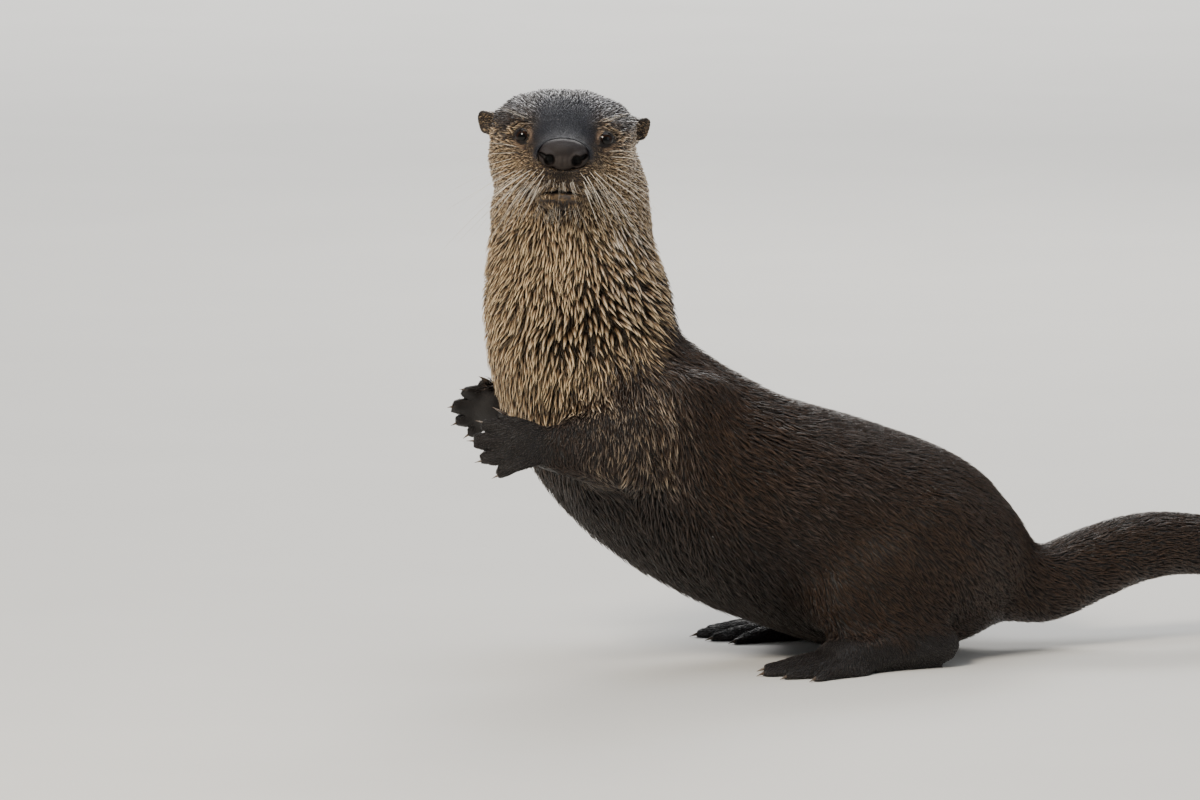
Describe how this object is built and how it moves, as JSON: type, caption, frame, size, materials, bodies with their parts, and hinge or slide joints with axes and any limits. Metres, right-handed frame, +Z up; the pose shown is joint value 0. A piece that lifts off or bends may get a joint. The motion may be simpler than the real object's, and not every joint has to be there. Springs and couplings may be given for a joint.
{
  "type": "river otter life-size model",
  "caption": "Life-size river otter rearing up on its haunches, forepaws held forward, head turned to its left.",
  "frame": {"origin": "on the floor, on the flat under the haunches that the animal sits on", "axes": "+Z up; the trunk lies along X, with the chest towards -X and the tail towards +X; the animal's left side faces -Y"},
  "size_m": [0.7386, 0.2542, 0.3785],
  "materials": {
    "pale_coat": "damp buff-brown fur in pointed clumps",
    "dark_coat": "sleek damp dark brown fur",
    "paw": "near-black short-haired webbed feet",
    "nose_pad": "bare damp pebbled skin",
    "eye": "glossy dark brown glass eye"
  },
  "bodies": {
    "root": {"head": "pale_coat", "lower_jaw": "pale_coat", "neck": "pale_coat", "nose": "nose_pad", "eye_left": "eye", "eye_right": "eye", "ear_left": "dark_coat", "ear_right": "dark_coat", "chest": "dark_coat", "loins": "dark_coat", "hindquarters": "dark_coat", "upper_arm_left": "dark_coat", "upper_arm_right": "dark_coat", "forearm_left": "dark_coat", "forearm_right": "dark_coat", "forepaw_left": "paw", "forepaw_right": "paw", "hind_leg_left": "dark_coat", "hind_leg_right": "dark_coat", "hindfoot_left": "paw", "hindfoot_right": "paw", "tail_root": "dark_coat", "tail_middle": "dark_coat", "tail_tip": "dark_coat"}
  },
  "joints": []
}
